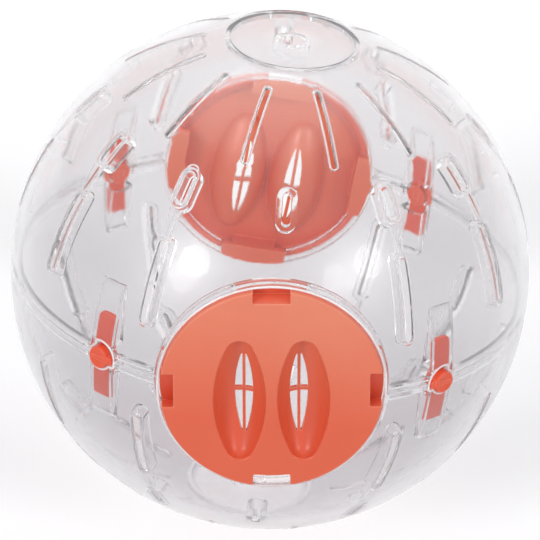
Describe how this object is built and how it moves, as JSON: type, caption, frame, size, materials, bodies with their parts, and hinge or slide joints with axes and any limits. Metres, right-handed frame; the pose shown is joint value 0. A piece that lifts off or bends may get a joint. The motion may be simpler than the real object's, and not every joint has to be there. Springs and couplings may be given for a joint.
{
  "type": "pet exercise ball",
  "caption": "Clear ventilated exercise ball in two half shells with bayonet doors, finger recesses and quarter-turn latches.",
  "frame": {"origin": "centre of the ball, which is the middle of the object's box", "axes": "+Z through the upper pole, -Y through the front door, +X to the right as seen from the front"},
  "size_m": [0.18, 0.1672, 0.178],
  "materials": {
    "clear_shell": "clear gloss, thin moulded polystyrene",
    "coral_door": "satin, smooth moulded plastic",
    "coral_latch": "satin, smooth moulded plastic"
  },
  "bodies": {
    "lower_half": {"lower_shell": "clear_shell"},
    "upper_half": {"upper_shell": "clear_shell", "latch_bar_front_left": "coral_latch", "latch_bar_front_right": "coral_latch", "latch_bar_back_left": "coral_latch", "latch_bar_back_right": "coral_latch"},
    "front_door": {"front_door": "coral_door"},
    "back_door": {"back_door": "coral_door"},
    "latch_front_left": {"latch_knob_front_left": "coral_latch", "latch_cam_front_left": "coral_latch"},
    "latch_front_right": {"latch_knob_front_right": "coral_latch", "latch_cam_front_right": "coral_latch"},
    "latch_back_left": {"latch_knob_back_left": "coral_latch", "latch_cam_back_left": "coral_latch"},
    "latch_back_right": {"latch_knob_back_right": "coral_latch", "latch_cam_back_right": "coral_latch"}
  },
  "joints": [
    {"name": "upper_half_lift", "type": "slide", "parent": "lower_half", "child": "upper_half", "axis": [0, 0, 1], "range_m": [0, 0.1]},
    {"name": "front_door_pull", "type": "slide", "parent": "lower_half", "child": "front_door", "axis": [0, -1, 0], "range_m": [0, 0.06]},
    {"name": "back_door_pull", "type": "slide", "parent": "lower_half", "child": "back_door", "axis": [0, 1, 0], "range_m": [0, 0.06]},
    {"name": "latch_front_left_turn", "type": "hinge", "parent": "upper_half", "child": "latch_front_left", "pos_m": [-0.05609, -0.06781, 0], "axis": [-0.6374, -0.7705, 0], "range_deg": [0, 90]},
    {"name": "latch_front_right_turn", "type": "hinge", "parent": "upper_half", "child": "latch_front_right", "pos_m": [0.05609, -0.06781, 0], "axis": [-0.6374, 0.7705, 0], "range_deg": [0, 90]},
    {"name": "latch_back_left_turn", "type": "hinge", "parent": "upper_half", "child": "latch_back_left", "pos_m": [-0.05609, 0.06781, 0], "axis": [0.6374, -0.7705, 0], "range_deg": [0, 90]},
    {"name": "latch_back_right_turn", "type": "hinge", "parent": "upper_half", "child": "latch_back_right", "pos_m": [0.05609, 0.06781, 0], "axis": [0.6374, 0.7705, 0], "range_deg": [0, 90]}
  ]
}
